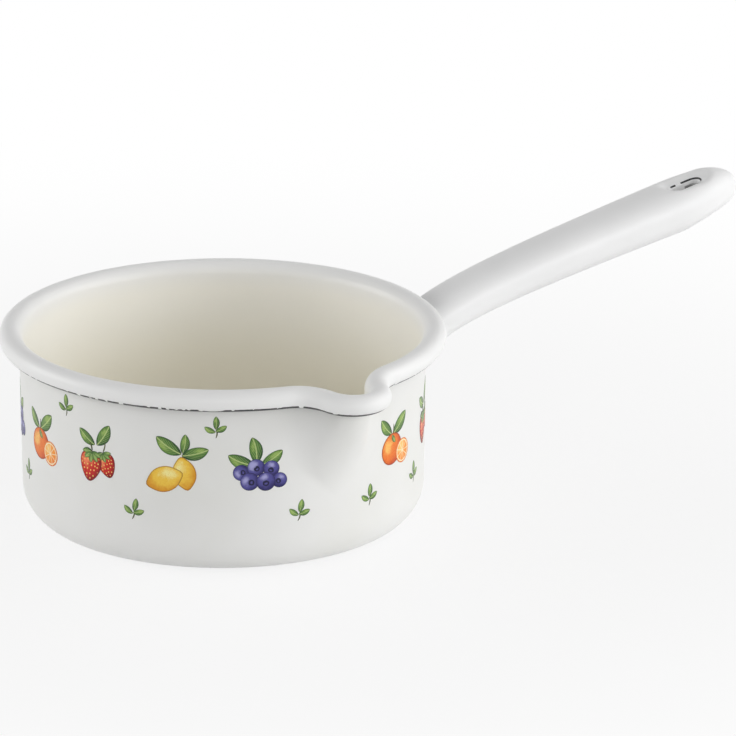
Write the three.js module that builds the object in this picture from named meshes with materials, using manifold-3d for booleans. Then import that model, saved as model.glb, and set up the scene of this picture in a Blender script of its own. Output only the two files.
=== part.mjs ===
// An enamelled steel milk pan with a rolled rim, one pressed pouring spout and a hollow handle.
// Millimetres, +Z up. The origin is the centre of the base, on the surface that the pan stands on.
// The handle points along +X and the spout along -Y.
import * as THREE from "three";
import { mergeGeometries, mergeVertices } from "three/addons/utils/BufferGeometryUtils.js";
import Module from "manifold-3d";

const wasm = await Module();
wasm.setup();

const degrees = THREE.MathUtils.degToRad;

// Sheet and coats
const STEEL_THICKNESS = 0.8;
const ENAMEL_THICKNESS = 0.3;

// Pan body, to the finished outer face
const WALL_RADIUS = 80;
const WALL_DRAFT = degrees(0.9);
const RIM_HEIGHT = 78.7;
const BASE_CORNER_RADIUS = 15.5;

// Rolled rim: a roll of two tangent arcs that stops short of closing
const ROLL_ENTRY_RADIUS = 5;
const ROLL_RADIUS = 4.3;
const ROLL_END_ANGLE = degrees(-70);
const CREAM_END_ANGLE = degrees(145);
const EDGE_COAT_LENGTH = 0.6;

// Pouring spout: a round tip between two round shoulders, fading out down the wall
const SPOUT_DIRECTION = degrees(-90);
const SPOUT_REACH = 17;
const SPOUT_TIP_RADIUS = 11;
const SPOUT_SHOULDER_RADIUS = 15;
const SPOUT_FOOT_HEIGHT = 26;
const SPOUT_DIP = 1;

// Handle line, in the upright plane through the pan's axis
const HANDLE_ROOT_HEIGHT = 48.9;
const HANDLE_ROOT_RISE = degrees(40.5);
const HANDLE_ROOT_PULL = 28;
const HANDLE_TIP_REACH = 247.6;
const HANDLE_TIP_HEIGHT = 93.2;
const HANDLE_TIP_RISE = degrees(9.4);
const HANDLE_TIP_PULL = 142;

// Handle section, to the finished face: widths across, depths square to the handle line
const HANDLE_ROOT_WIDTH = 22;
const HANDLE_TIP_WIDTH = 26;
const HANDLE_ROOT_DEPTH = 14.8;
const HANDLE_TIP_DEPTH = 19.9;
const HANDLE_SQUARENESS = 2.3;
const NOSE_LENGTH = 34;
const BROW_LENGTH = 20;
const CHIN_LENGTH = 29;
const CHIN_RISE = 4.7;
const CHIN_ROUND = 3;

// Handle joints
const SEAM_WELD_HEIGHT = 0.8;
const ROOT_FILLET_RADIUS = 4;
const ROOT_SEAT_GAP = 0.3;
const ROOT_WELD_LENGTH = 3;
const ROOT_OVERLAP = 8;

// Hanging eye: an oblong hole with a lip drawn in from both faces
const EYE_LENGTH = 14;
const EYE_WIDTH = 5.5;
const EYE_FROM_TIP = 22.6;
const EYE_LIP_DEPTH = 3;
const EYE_LIP_WIDTH = 6;

// Facets
const PAN_FACETS = 46;
const SPOUT_CROWDING = 0.65;
const CORNER_STEPS = 4;
const WALL_STEPS = 4;
const ROLL_ENTRY_STEPS = 3;
const ROLL_STEPS = 5;
const ROOT_STEPS = 3;
const BODY_STEPS = 7;
const NOSE_STEPS = 9;
const HALF_SECTION_STEPS = 10;
const EYE_END_STEPS = 5;

// Layers, as depths under the finished outer face of the pan
const STEEL_OUTSIDE = ENAMEL_THICKNESS;
const STEEL_INSIDE = STEEL_OUTSIDE + STEEL_THICKNESS;
const CREAM_FACE = STEEL_INSIDE + ENAMEL_THICKNESS;

// Solids

function closedGeometry(geometry) {
  const bare = new THREE.BufferGeometry();
  bare.setAttribute("position", geometry.getAttribute("position"));
  if (geometry.index) bare.setIndex(geometry.index);
  const merged = mergeVertices(bare, 1e-4);
  const corners = merged.index.array;
  const kept = [];
  for (let i = 0; i < corners.length; i += 3) {
    const [a, b, c] = [corners[i], corners[i + 1], corners[i + 2]];
    if (a !== b && b !== c && c !== a) kept.push(a, b, c);
  }
  merged.setIndex(kept);
  return signedVolume(merged) < 0 ? turnedOut(merged) : merged;
}

function signedVolume(geometry) {
  const position = geometry.getAttribute("position");
  const corners = geometry.index.array;
  const [a, b, c] = [new THREE.Vector3(), new THREE.Vector3(), new THREE.Vector3()];
  let sum = 0;
  for (let i = 0; i < corners.length; i += 3) {
    a.fromBufferAttribute(position, corners[i]);
    b.fromBufferAttribute(position, corners[i + 1]);
    c.fromBufferAttribute(position, corners[i + 2]);
    sum += a.dot(b.cross(c)) / 6;
  }
  return sum;
}

function turnedOut(geometry) {
  const corners = geometry.index.array;
  for (let i = 0; i < corners.length; i += 3) {
    [corners[i], corners[i + 1]] = [corners[i + 1], corners[i]];
  }
  return geometry;
}

function toSolid(geometry) {
  const vertProperties = new Float32Array(geometry.getAttribute("position").array);
  const triVerts = new Uint32Array(geometry.index.array);
  return new wasm.Manifold(new wasm.Mesh({ numProp: 3, vertProperties, triVerts }));
}

function toGeometry(solid) {
  const mesh = solid.getMesh();
  const geometry = new THREE.BufferGeometry();
  const positions = new Float32Array(mesh.numVert * 3);
  for (let i = 0; i < mesh.numVert; i++) {
    positions.set(mesh.vertProperties.subarray(i * mesh.numProp, i * mesh.numProp + 3), i * 3);
  }
  geometry.setAttribute("position", new THREE.BufferAttribute(positions, 3));
  geometry.setIndex(new THREE.BufferAttribute(new Uint32Array(mesh.triVerts), 1));
  return geometry;
}

// Skins a stack of closed rings with equal numbers of points, and fills both ends.
// Each cap is a strip of quads across the ring, from its first half to its second. A quad is split
// along its shorter diagonal, so that pieces which share a face have the same facets there. Layers
// that lie close together take their diagonals from one guide, so that they never cross.
function loft(rings, guide = rings) {
  const count = rings[0].length;
  const points = rings.flat();
  const drawn = guide.flat();
  const corners = [];
  const addQuad = (a, b, c, d) => {
    const shorter = drawn[a].distanceTo(drawn[c]) <= drawn[b].distanceTo(drawn[d]);
    corners.push(...(shorter ? [a, b, c, a, c, d] : [a, b, d, b, c, d]));
  };
  for (let row = 0; row + 1 < rings.length; row++) {
    for (let i = 0; i < count; i++) {
      const [a, b] = [row * count + i, row * count + (i + 1) % count];
      addQuad(a, b, b + count, a + count);
    }
  }
  const last = points.length - count;
  for (let i = 0; i + 1 < count / 2; i++) {
    const [b, c, d] = [i + 1, count - 2 - i, count - 1 - i];
    addQuad(i, d, c, b);
    addQuad(last + i, last + b, last + c, last + d);
  }
  const geometry = new THREE.BufferGeometry();
  geometry.setFromPoints(points);
  geometry.setIndex(corners);
  return closedGeometry(geometry);
}

// Pan

// The finished outer face in section, from the axis to the cut edge of the roll. Each station has
// a point and the direction towards the inside of the pan, which the roll carries round to its top.
function sectionStations() {
  const turn = WALL_DRAFT;
  const entry = ROLL_ENTRY_RADIUS - CREAM_FACE;
  const roll = ROLL_RADIUS - CREAM_FACE;
  const entryCentreHeight = RIM_HEIGHT - ROLL_ENTRY_RADIUS;
  const wallTop = new THREE.Vector2(WALL_RADIUS, entryCentreHeight + entry * Math.sin(turn));
  const entryCentre = new THREE.Vector2(WALL_RADIUS + entry * Math.cos(turn), entryCentreHeight);
  const rollCentre = new THREE.Vector2(entryCentre.x, entryCentreHeight + entry - roll);
  const cornerTop = BASE_CORNER_RADIUS * (1 - Math.sin(turn));
  const cornerReach = BASE_CORNER_RADIUS * Math.cos(turn);
  const flat = WALL_RADIUS - cornerReach - (wallTop.y - cornerTop) * Math.tan(turn);
  const corner = new THREE.Vector2(flat, BASE_CORNER_RADIUS);
  const wallFoot = new THREE.Vector2(flat + cornerReach, cornerTop);
  const quarter = Math.PI / 2;
  const pieces = [
    [new THREE.LineCurve(new THREE.Vector2(0, 0), new THREE.Vector2(flat, 0)), 1],
    [arc(corner, BASE_CORNER_RADIUS, -quarter, -turn, false), CORNER_STEPS],
    [new THREE.LineCurve(wallFoot, wallTop), WALL_STEPS],
    [arc(entryCentre, entry, Math.PI - turn, CREAM_END_ANGLE, true), 1],
    [arc(entryCentre, entry, CREAM_END_ANGLE, quarter, true), ROLL_ENTRY_STEPS - 1],
    [arc(rollCentre, roll, quarter, ROLL_END_ANGLE + EDGE_COAT_LENGTH / ROLL_RADIUS, true), ROLL_STEPS],
    [arc(rollCentre, roll, ROLL_END_ANGLE + EDGE_COAT_LENGTH / ROLL_RADIUS, ROLL_END_ANGLE, true), 1],
  ];
  const stations = [];
  const ends = [];
  for (const [curve, steps] of pieces) {
    for (let i = stations.length ? 1 : 0; i <= steps; i++) {
      const along = curve.getTangent(i / steps);
      stations.push({ point: curve.getPoint(i / steps), inward: new THREE.Vector2(-along.y, along.x), along });
    }
    ends.push(stations.length - 1);
  }
  const [, , wallEnd, creamEnd, , rollEnd, edge] = ends;
  return { stations, wallEnd, creamEnd, rollEnd, edge };
}

function arc(centre, radius, from, to, clockwise) {
  return new THREE.ArcCurve(centre.x, centre.y, radius, from, to, clockwise);
}

const SECTION = sectionStations();

function atDepth(station, depth) {
  return station.point.clone().addScaledVector(station.inward, depth);
}

// Where the wall line runs in plan, at an angle from the spout's middle, and its outward direction.
function planLine(angle, reach) {
  const turn = Math.abs(angle);
  const ray = new THREE.Vector2(Math.sin(turn), Math.cos(turn));
  const plain = { point: ray.clone().multiplyScalar(WALL_RADIUS), outward: ray };
  if (reach <= 0) return plain;
  const tip = new THREE.Vector2(0, WALL_RADIUS + reach - SPOUT_TIP_RADIUS);
  const stand = WALL_RADIUS + SPOUT_SHOULDER_RADIUS;
  const joined = SPOUT_TIP_RADIUS + SPOUT_SHOULDER_RADIUS;
  const spread = Math.acos((stand ** 2 + tip.y ** 2 - joined ** 2) / (2 * stand * tip.y));
  if (turn >= spread) return plain;
  const shoulder = new THREE.Vector2(Math.sin(spread), Math.cos(spread)).multiplyScalar(stand);
  const meeting = tip.clone().lerp(shoulder, SPOUT_TIP_RADIUS / joined);
  if (turn <= Math.atan2(meeting.x, meeting.y)) {
    const across = tip.y * Math.sin(turn);
    const point = ray.multiplyScalar(tip.y * Math.cos(turn) + Math.sqrt(SPOUT_TIP_RADIUS ** 2 - across ** 2));
    return { point, outward: point.clone().sub(tip).normalize() };
  }
  const across = stand * Math.sin(spread - turn);
  const near = stand * Math.cos(spread - turn) - Math.sqrt(SPOUT_SHOULDER_RADIUS ** 2 - across ** 2);
  const point = ray.multiplyScalar(near);
  return { point, outward: shoulder.clone().sub(point).normalize() };
}

// Presses the spout into a turned solid: every layer takes the same press, so they stay in contact.
function pressSpout(geometry) {
  const position = geometry.getAttribute("position");
  const rimStart = SECTION.stations[SECTION.wallEnd].point.y;
  for (let i = 0; i < position.count; i++) {
    const [x, y, z] = [position.getX(i), position.getY(i), position.getZ(i)];
    const radius = Math.hypot(x, y);
    const even = Math.atan2(y, x) - SPOUT_DIRECTION;
    const turn = Math.atan2(Math.sin(even), Math.cos(even));
    const angle = turn - SPOUT_CROWDING * Math.sin(turn);
    const share = THREE.MathUtils.smoothstep(z, SPOUT_FOOT_HEIGHT, rimStart);
    const { point, outward } = planLine(angle, SPOUT_REACH * share);
    const pressed = point.length() - WALL_RADIUS;
    point.addScaledVector(outward, radius - WALL_RADIUS);
    const side = Math.sign(angle) * point.x;
    position.setX(i, point.y * Math.cos(SPOUT_DIRECTION) - side * Math.sin(SPOUT_DIRECTION));
    position.setY(i, point.y * Math.sin(SPOUT_DIRECTION) + side * Math.cos(SPOUT_DIRECTION));
    position.setZ(i, z - SPOUT_DIP * pressed / SPOUT_REACH);
  }
  return geometry;
}

// One turned face of a solid. Every face runs along the section the same way, so that layers which
// share a face have the same facets there, and the back of a layer is such a face turned over.
function turnedFace(profile, turnedOver) {
  const face = new THREE.LatheGeometry(profile, PAN_FACETS).rotateX(Math.PI / 2);
  return turnedOver ? turnedOut(pressSpout(face)) : pressSpout(face);
}

function turnedSolid(faces) {
  return closedGeometry(mergeGeometries(faces));
}

// One layer of the pan, between two stations and two depths.
function layer(first, last, outerDepth, innerDepth) {
  const run = SECTION.stations.slice(first, last + 1);
  const along = (depth) => run.map((station) => atDepth(station, depth));
  const across = (station) => [atDepth(station, outerDepth), atDepth(station, innerDepth)];
  const faces = [
    turnedFace(along(outerDepth), false),
    turnedFace(along(innerDepth), true),
    turnedFace(across(run.at(-1)), false),
  ];
  if (first > 0) faces.push(turnedFace(across(run[0]), true));
  return turnedSolid(faces);
}

function panShell() {
  return layer(0, SECTION.edge, STEEL_OUTSIDE, STEEL_INSIDE);
}

function interiorEnamel() {
  return layer(0, SECTION.creamEnd, STEEL_INSIDE, CREAM_FACE);
}

function rimEnamel() {
  return layer(SECTION.creamEnd, SECTION.rollEnd, STEEL_INSIDE, CREAM_FACE);
}

// The dark coat wraps the cut edge of the sheet, and reaches a little way up the roll.
function rimEdgeCoat() {
  const start = SECTION.stations[SECTION.rollEnd];
  const edge = SECTION.stations[SECTION.edge];
  const past = (depth) => atDepth(edge, depth).addScaledVector(edge.along, ENAMEL_THICKNESS);
  return turnedSolid([
    turnedFace([atDepth(start, STEEL_INSIDE), atDepth(edge, STEEL_INSIDE)], false),
    turnedFace([atDepth(edge, STEEL_OUTSIDE), atDepth(edge, STEEL_INSIDE)], true),
    turnedFace([atDepth(edge, STEEL_OUTSIDE), past(STEEL_OUTSIDE), past(CREAM_FACE)], false),
    turnedFace([atDepth(start, CREAM_FACE), past(CREAM_FACE)], true),
    turnedFace([atDepth(start, STEEL_INSIDE), atDepth(start, CREAM_FACE)], true),
  ]);
}

function exteriorEnamel() {
  return layer(0, SECTION.wallEnd, 0, STEEL_OUTSIDE);
}

// The room that the pan takes up below its roll, with the clearance that the handle keeps from it.
function panBlock() {
  const below = SECTION.stations.slice(0, SECTION.wallEnd + 1);
  const run = below.map((station) => atDepth(station, -ROOT_SEAT_GAP));
  return toSolid(turnedSolid([turnedFace([...run, new THREE.Vector2(0, run.at(-1).y)], false)]));
}

// Handle

const HANDLE_LINE = new THREE.CubicBezierCurve(
  new THREE.Vector2(WALL_RADIUS, HANDLE_ROOT_HEIGHT),
  new THREE.Vector2(
    WALL_RADIUS + HANDLE_ROOT_PULL * Math.cos(HANDLE_ROOT_RISE),
    HANDLE_ROOT_HEIGHT + HANDLE_ROOT_PULL * Math.sin(HANDLE_ROOT_RISE),
  ),
  new THREE.Vector2(
    HANDLE_TIP_REACH - HANDLE_TIP_PULL * Math.cos(HANDLE_TIP_RISE),
    HANDLE_TIP_HEIGHT - HANDLE_TIP_PULL * Math.sin(HANDLE_TIP_RISE),
  ),
  new THREE.Vector2(HANDLE_TIP_REACH, HANDLE_TIP_HEIGHT),
);

// Height and rise of the handle line at a distance from the pan's axis, and how far along it that is.
function handleLineAt(reach) {
  if (reach <= WALL_RADIUS) {
    const back = (WALL_RADIUS - reach) * Math.tan(HANDLE_ROOT_RISE);
    return { height: HANDLE_ROOT_HEIGHT - back, rise: HANDLE_ROOT_RISE, share: 0 };
  }
  let [low, high] = [0, 1];
  for (let i = 0; i < 40; i++) {
    const middle = (low + high) / 2;
    if (HANDLE_LINE.getPoint(middle).x < reach) low = middle;
    else high = middle;
  }
  const along = HANDLE_LINE.getTangent(low);
  return { height: HANDLE_LINE.getPoint(low).y, rise: Math.atan2(along.y, along.x), share: low };
}

// How much of a rounded end is left at a distance from it: 1 away from the end, 0 at the end.
function roundedEnd(distance, length) {
  const share = THREE.MathUtils.clamp((length - distance) / length, 0, 1);
  return Math.sqrt(1 - share ** 2);
}

// Half sizes of the upright section at a reach, a depth under the finished face.
function handleSection(reach, depth, fillet) {
  const { height, rise } = handleLineAt(reach);
  const share = THREE.MathUtils.clamp((reach - WALL_RADIUS) / (HANDLE_TIP_REACH - WALL_RADIUS), 0, 1);
  const left = Math.max(HANDLE_TIP_REACH - reach - depth, 0);
  const near = THREE.MathUtils.clamp((reach - WALL_RADIUS) / ROOT_FILLET_RADIUS, 0, 1);
  const flare = fillet * (1 - Math.sqrt(1 - (1 - near) ** 2)) - depth;
  const width = THREE.MathUtils.lerp(HANDLE_ROOT_WIDTH, HANDLE_TIP_WIDTH, share) / 2 + flare;
  const deep = THREE.MathUtils.lerp(HANDLE_ROOT_DEPTH, HANDLE_TIP_DEPTH, share) / 2 + flare;
  const chin = CHIN_RISE * THREE.MathUtils.clamp((CHIN_LENGTH - left) / CHIN_LENGTH, 0, 1);
  return {
    height,
    width: width * roundedEnd(left, NOSE_LENGTH - depth),
    up: deep * roundedEnd(left, BROW_LENGTH - depth) / Math.cos(rise),
    down: (deep - chin) * roundedEnd(left, CHIN_ROUND - depth) / Math.cos(rise),
  };
}

const EYE_REACH = HANDLE_TIP_REACH - EYE_FROM_TIP;
const EYE_MIDDLE = handleLineAt(EYE_REACH);

// How far the lip of the hanging eye is drawn in at a place on the upper or lower face. The eye goes
// square through the rising handle line.
function lipAt(reach, across, height) {
  const along = reach + (height - EYE_MIDDLE.height) * Math.tan(EYE_MIDDLE.rise) - EYE_REACH;
  const straight = Math.max(Math.abs(along) - (EYE_LENGTH - EYE_WIDTH) / 2, 0);
  const out = Math.hypot(straight, across) - EYE_WIDTH / 2;
  return EYE_LIP_DEPTH * (1 - THREE.MathUtils.smoothstep(out, 0, EYE_LIP_WIDTH));
}

// Half of one section, from the +Y side to the -Y side. The side is 1 above the seam and -1 below.
function halfSection(reach, depth, fillet, side) {
  const { height, width, up, down } = handleSection(reach, depth, fillet);
  const power = 2 / HANDLE_SQUARENESS;
  const points = [];
  for (let i = 0; i <= HALF_SECTION_STEPS; i++) {
    const angle = Math.PI * i / HALF_SECTION_STEPS;
    const across = width * Math.sign(Math.cos(angle)) * Math.abs(Math.cos(angle)) ** power;
    const raised = (side > 0 ? up : down) * Math.sin(angle) ** power;
    const face = SEAM_WELD_HEIGHT / 2 + raised;
    const lip = Math.min(lipAt(reach, across, height + side * face), raised) * Math.sin(angle);
    points.push(new THREE.Vector3(reach, across, height + side * (face - lip)));
  }
  return points;
}

function fullSection(reach, depth, fillet) {
  return [...halfSection(reach, depth, fillet, 1), ...halfSection(reach, depth, fillet, -1).reverse()];
}

// Distances from the axis at which the handle is cut into sections. They lie closer together at both
// ends, and round the bend, where the line's own share runs slowly.
function rootReaches(length) {
  const steps = Array.from({ length: ROOT_STEPS + 1 }, (_, i) => i / ROOT_STEPS);
  return [WALL_RADIUS - ROOT_OVERLAP, ...steps.map((share) => WALL_RADIUS + length * share ** 2)];
}

function handleReaches(depth) {
  const noseStart = HANDLE_TIP_REACH - NOSE_LENGTH;
  const bodyStart = handleLineAt(WALL_RADIUS + ROOT_FILLET_RADIUS).share;
  const bodyEnd = handleLineAt(noseStart).share;
  const body = Array.from({ length: BODY_STEPS }, (_, i) => (i + 1) / BODY_STEPS);
  const nose = Array.from({ length: NOSE_STEPS }, (_, i) => Math.sin((i + 1) / NOSE_STEPS * Math.PI / 2));
  return [
    ...rootReaches(ROOT_FILLET_RADIUS),
    ...body.map((share) => HANDLE_LINE.getPoint(THREE.MathUtils.lerp(bodyStart, bodyEnd, share)).x),
    ...nose.map((share) => THREE.MathUtils.lerp(noseStart, HANDLE_TIP_REACH - depth, share)),
  ];
}

function handleSolid(depth, fillet) {
  const face = handleReaches(0).map((reach) => fullSection(reach, 0, 0));
  return toSolid(loft(handleReaches(depth).map((reach) => fullSection(reach, depth, fillet)), face));
}

// The flared end of the handle's steel, over the length of its weld.
function rootSolid() {
  const flared = (reach) => fullSection(reach, STEEL_OUTSIDE, ROOT_FILLET_RADIUS);
  return toSolid(loft(rootReaches(ROOT_WELD_LENGTH).map(flared)));
}

// An oblong prism through the handle at the hanging eye, larger all round than the finished hole.
function eyePrism(margin) {
  const radius = EYE_WIDTH / 2 + margin;
  const middle = (EYE_LENGTH - EYE_WIDTH) / 2;
  const outline = new THREE.Shape();
  outline.absarc(middle, 0, radius, -Math.PI / 2, Math.PI / 2, false);
  outline.absarc(-middle, 0, radius, Math.PI / 2, Math.PI * 1.5, false);
  const depth = 2 * (HANDLE_TIP_DEPTH + EYE_WIDTH);
  const geometry = new THREE.ExtrudeGeometry(outline, { depth, bevelEnabled: false, curveSegments: EYE_END_STEPS });
  geometry.translate(0, 0, -depth / 2).rotateY(-EYE_MIDDLE.rise).translate(EYE_REACH, 0, EYE_MIDDLE.height);
  return toSolid(closedGeometry(geometry));
}

// One pressing of the handle: an open half shell, with a collar drawn in round the hanging eye.
function handleShell(side) {
  const outer = handleReaches(STEEL_OUTSIDE).map((reach) => halfSection(reach, STEEL_OUTSIDE, 0, side));
  const inner = handleReaches(STEEL_INSIDE).map((reach) => halfSection(reach, STEEL_INSIDE, 0, side));
  const face = handleReaches(0).map((reach) => halfSection(reach, 0, 0, side));
  const guide = face.map((half) => [...half, ...half.toReversed()]);
  const shell = loft(outer.map((half, i) => [...half, ...inner[i].toReversed()]), guide);
  const flats = outer.map((half) => half.map((point) => seamPoint(point, side)).reverse());
  const block = loft(outer.map((half, i) => [...half, ...flats[i]]), guide);
  const collar = eyePrism(STEEL_INSIDE).intersect(toSolid(block));
  const pressed = toSolid(shell).add(collar).subtract(eyePrism(STEEL_OUTSIDE));
  return toGeometry(pressed.subtract(panBlock()));
}

// The point of the seam face straight above or below a point of the shell.
function seamPoint(point, side) {
  const { height } = handleLineAt(point.x);
  return new THREE.Vector3(point.x, point.y, height + side * SEAM_WELD_HEIGHT / 2);
}

// The weld runs along one side of the handle, round the tip and back along the other side.
function handleSeamWeld() {
  const edge = (depth, side) => handleReaches(depth).map((reach) => {
    const { height, width } = handleSection(reach, depth, 0);
    return new THREE.Vector3(reach, side * width, height);
  });
  const round = (depth) => [...edge(depth, 1), ...edge(depth, -1).reverse().slice(1)];
  const [outer, inner] = [round(STEEL_OUTSIDE), round(STEEL_INSIDE)];
  const half = new THREE.Vector3(0, 0, SEAM_WELD_HEIGHT / 2);
  const above = (point) => point.clone().add(half);
  const below = (point) => point.clone().sub(half);
  const bead = loft(outer.map((point, i) => [above(point), below(point), below(inner[i]), above(inner[i])]));
  return toGeometry(toSolid(bead).subtract(panBlock()));
}

function handleRootWeld() {
  const weld = rootSolid().subtract(handleSolid(STEEL_OUTSIDE, 0));
  return toGeometry(weld.subtract(panBlock()));
}

// The coat lies on both pressings, on the welds and on the wall of the hanging eye.
function handleEnamel() {
  const outside = handleSolid(0, ROOT_FILLET_RADIUS);
  const core = handleSolid(STEEL_OUTSIDE, 0).add(rootSolid());
  const lining = eyePrism(STEEL_OUTSIDE).intersect(outside);
  const coat = outside.subtract(core).add(lining).subtract(eyePrism(0));
  return toGeometry(coat.subtract(panBlock()));
}

// Finishes and assembly

const STEEL = { color: 0x8b8d8f, roughness: 0.45, metalness: 0.9 };
const WHITE_ENAMEL = { color: 0xf3f2ee, roughness: 0.16, metalness: 0 };
const CREAM_ENAMEL = { color: 0xe9e3cd, roughness: 0.18, metalness: 0 };
const GROUND_COAT = { color: 0x2a2b2d, roughness: 0.4, metalness: 0 };

function piece(name, geometry, finish) {
  const mesh = new THREE.Mesh(geometry, new THREE.MeshStandardMaterial(finish));
  mesh.name = name;
  return mesh;
}

const pan = new THREE.Group();
pan.add(
  piece("pan_shell", panShell(), STEEL),
  piece("interior_enamel", interiorEnamel(), CREAM_ENAMEL),
  piece("exterior_enamel", exteriorEnamel(), WHITE_ENAMEL),
  piece("rim_enamel", rimEnamel(), WHITE_ENAMEL),
  piece("rim_edge_coat", rimEdgeCoat(), GROUND_COAT),
);

const handle = new THREE.Group();
handle.add(
  piece("handle_upper_shell", handleShell(1), STEEL),
  piece("handle_lower_shell", handleShell(-1), STEEL),
  piece("handle_seam_weld", handleSeamWeld(), STEEL),
  piece("handle_root_weld", handleRootWeld(), STEEL),
  piece("handle_enamel", handleEnamel(), WHITE_ENAMEL),
);

const milkPan = new THREE.Group();
milkPan.add(pan, handle);

export default milkPan;
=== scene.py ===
"""The looks of an enamelled milk pan with a pouring spout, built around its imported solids.

Sizes are in millimetres until a piece is finished, when its mesh is scaled to metres. The pan's axis
is Z, its base stands on Z = 0, the handle points along +X and the spout along -Y.
"""

import logging
import math
import random
from collections.abc import Sequence
from dataclasses import dataclass, field, replace
from enum import Enum
from functools import cached_property

import bmesh
import bpy
from bmesh.types import BMEdge, BMesh, BMFace, BMVert
from bpy.types import Material, Mesh, Node, NodeSocket, NodeTree, Object
from mathutils import Matrix, Vector


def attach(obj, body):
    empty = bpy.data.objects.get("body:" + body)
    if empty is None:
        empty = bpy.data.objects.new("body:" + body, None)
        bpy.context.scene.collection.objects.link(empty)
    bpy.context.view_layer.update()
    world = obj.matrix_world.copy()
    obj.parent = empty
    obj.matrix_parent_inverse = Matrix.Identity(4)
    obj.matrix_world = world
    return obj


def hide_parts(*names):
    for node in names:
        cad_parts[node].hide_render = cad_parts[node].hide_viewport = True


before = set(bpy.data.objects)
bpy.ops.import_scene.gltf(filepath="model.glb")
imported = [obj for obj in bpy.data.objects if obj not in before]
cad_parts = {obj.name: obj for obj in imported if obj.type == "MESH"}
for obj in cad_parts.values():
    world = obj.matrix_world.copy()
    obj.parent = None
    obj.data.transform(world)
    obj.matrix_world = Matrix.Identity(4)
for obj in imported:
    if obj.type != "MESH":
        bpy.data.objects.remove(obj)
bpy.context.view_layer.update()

LOG = logging.getLogger("milk_pan")
MM = 0.001
MERGE = 1e-4
BODY = "root"

Colour = tuple[float, float, float, float]
Shade = tuple[int, int, int]
Ring = Sequence[Vector]


# Small helpers


def srgb(shade: Shade) -> Colour:
    """Turn a display colour, with parts from 0 to 255, into a linear one with an alpha of 1."""
    shares = [part / 255 for part in shade]
    return *(share / 12.92 if share <= 0.04045 else ((share + 0.055) / 1.055) ** 2.4 for share in shares), 1.0


def clamp(value: float) -> float:
    """Return the value, held between 0 and 1."""
    return min(max(value, 0.0), 1.0)


def smoothstep(value: float, low: float, high: float) -> float:
    """Return 0 below low, 1 above high and a smooth rise between them."""
    share = clamp((value - low) / (high - low))
    return share * share * (3 - 2 * share)


def blend(first: float, last: float, share: float) -> float:
    """Return the value a share of the way from first to last."""
    return first + (last - first) * share


def lofted(edit: BMesh, rings: Sequence[Ring]) -> list[BMVert]:
    """Extrude a closed ring of points through a stack of rings with as many points.

    Args:
        edit: The mesh that the skin is added to.
        rings: The rings, in order.

    Returns:
        Every vertex of the new skin.
    """
    place = edit.verts.layers.int.get("place") or edit.verts.layers.int.new("place")
    ring = [edit.verts.new(point) for point in rings[0]]
    for number, vert in enumerate(ring):
        vert[place] = number
    edges = [edit.edges.new(pair) for pair in zip(ring, ring[1:] + ring[:1])]
    made = list(ring)
    for points in rings[1:]:
        grown = bmesh.ops.extrude_edge_only(edit, edges=edges)["geom"]
        fresh = {item for item in grown if isinstance(item, BMVert)}
        for vert in fresh:
            vert.co = points[vert[place]]
        edges = [item for item in grown if isinstance(item, BMEdge) and fresh.issuperset(item.verts)]
        made += sorted(fresh, key=lambda vert: vert[place])
    return made


def closed(edit: BMesh) -> None:
    """Merge the points that meet and turn every face outwards."""
    bmesh.ops.remove_doubles(edit, verts=edit.verts[:], dist=MERGE)
    bmesh.ops.dissolve_degenerate(edit, edges=edit.edges[:], dist=MERGE)
    bmesh.ops.recalc_face_normals(edit, faces=edit.faces[:])


def finished_mesh(name: str, edit: BMesh) -> Mesh:
    """Turn an edited mesh into a finished one, and free it."""
    mesh = bpy.data.meshes.new(name)
    edit.to_mesh(mesh)
    edit.free()
    return mesh


def added(name: str, data: bpy.types.ID) -> Object:
    """Add an object to the scene."""
    thing = bpy.data.objects.new(name, data)
    bpy.context.scene.collection.objects.link(thing)
    return thing


@dataclass(frozen=True)
class Piece:
    """How a finished mesh joins the model."""

    name: str
    slot: str
    stands_for: tuple[str, ...] = ()
    sharp_angle: float = math.radians(40)

    def finish(self, edit: BMesh, material: Material) -> None:
        """Make the object from its mesh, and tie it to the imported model.

        Args:
            edit: The mesh in millimetres, which is freed.
            material: The finish that the piece wears.
        """
        bmesh.ops.scale(edit, vec=(MM, MM, MM), verts=edit.verts[:])
        edit.normal_update()
        for face in edit.faces:
            face.smooth = True
        for edge in edit.edges:
            edge.smooth = len(edge.link_faces) == 2 and edge.calc_face_angle(0.0) < self.sharp_angle
        mesh = finished_mesh(self.name, edit)
        mesh.materials.append(material)
        piece = added(self.name, mesh)
        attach(piece, BODY)
        if self.stands_for:
            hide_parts(*self.stands_for)
        LOG.info("%s: %d faces", self.name, len(mesh.polygons))


# The pan


@dataclass(frozen=True)
class Layers:
    """Thicknesses of the pan's sheet and coats, and the depths of their faces."""

    enamel: float = 0.3
    steel: float = 0.8

    @property
    def steel_inside(self) -> float:
        """Return the depth of the steel's inner face."""
        return self.enamel + self.steel

    @property
    def inner_face(self) -> float:
        """Return the depth of the finished inner face."""
        return self.steel_inside + self.enamel


@dataclass(frozen=True)
class Station:
    """One point of the pan's section, on the finished outer face."""

    point: Vector
    inward: Vector
    along: Vector
    run: float

    def at(self, depth: float) -> Vector:
        """Return the point at a depth under the outer face, in the XZ plane."""
        place = self.point + self.inward * depth
        return Vector((place.x, 0.0, place.y))


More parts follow.
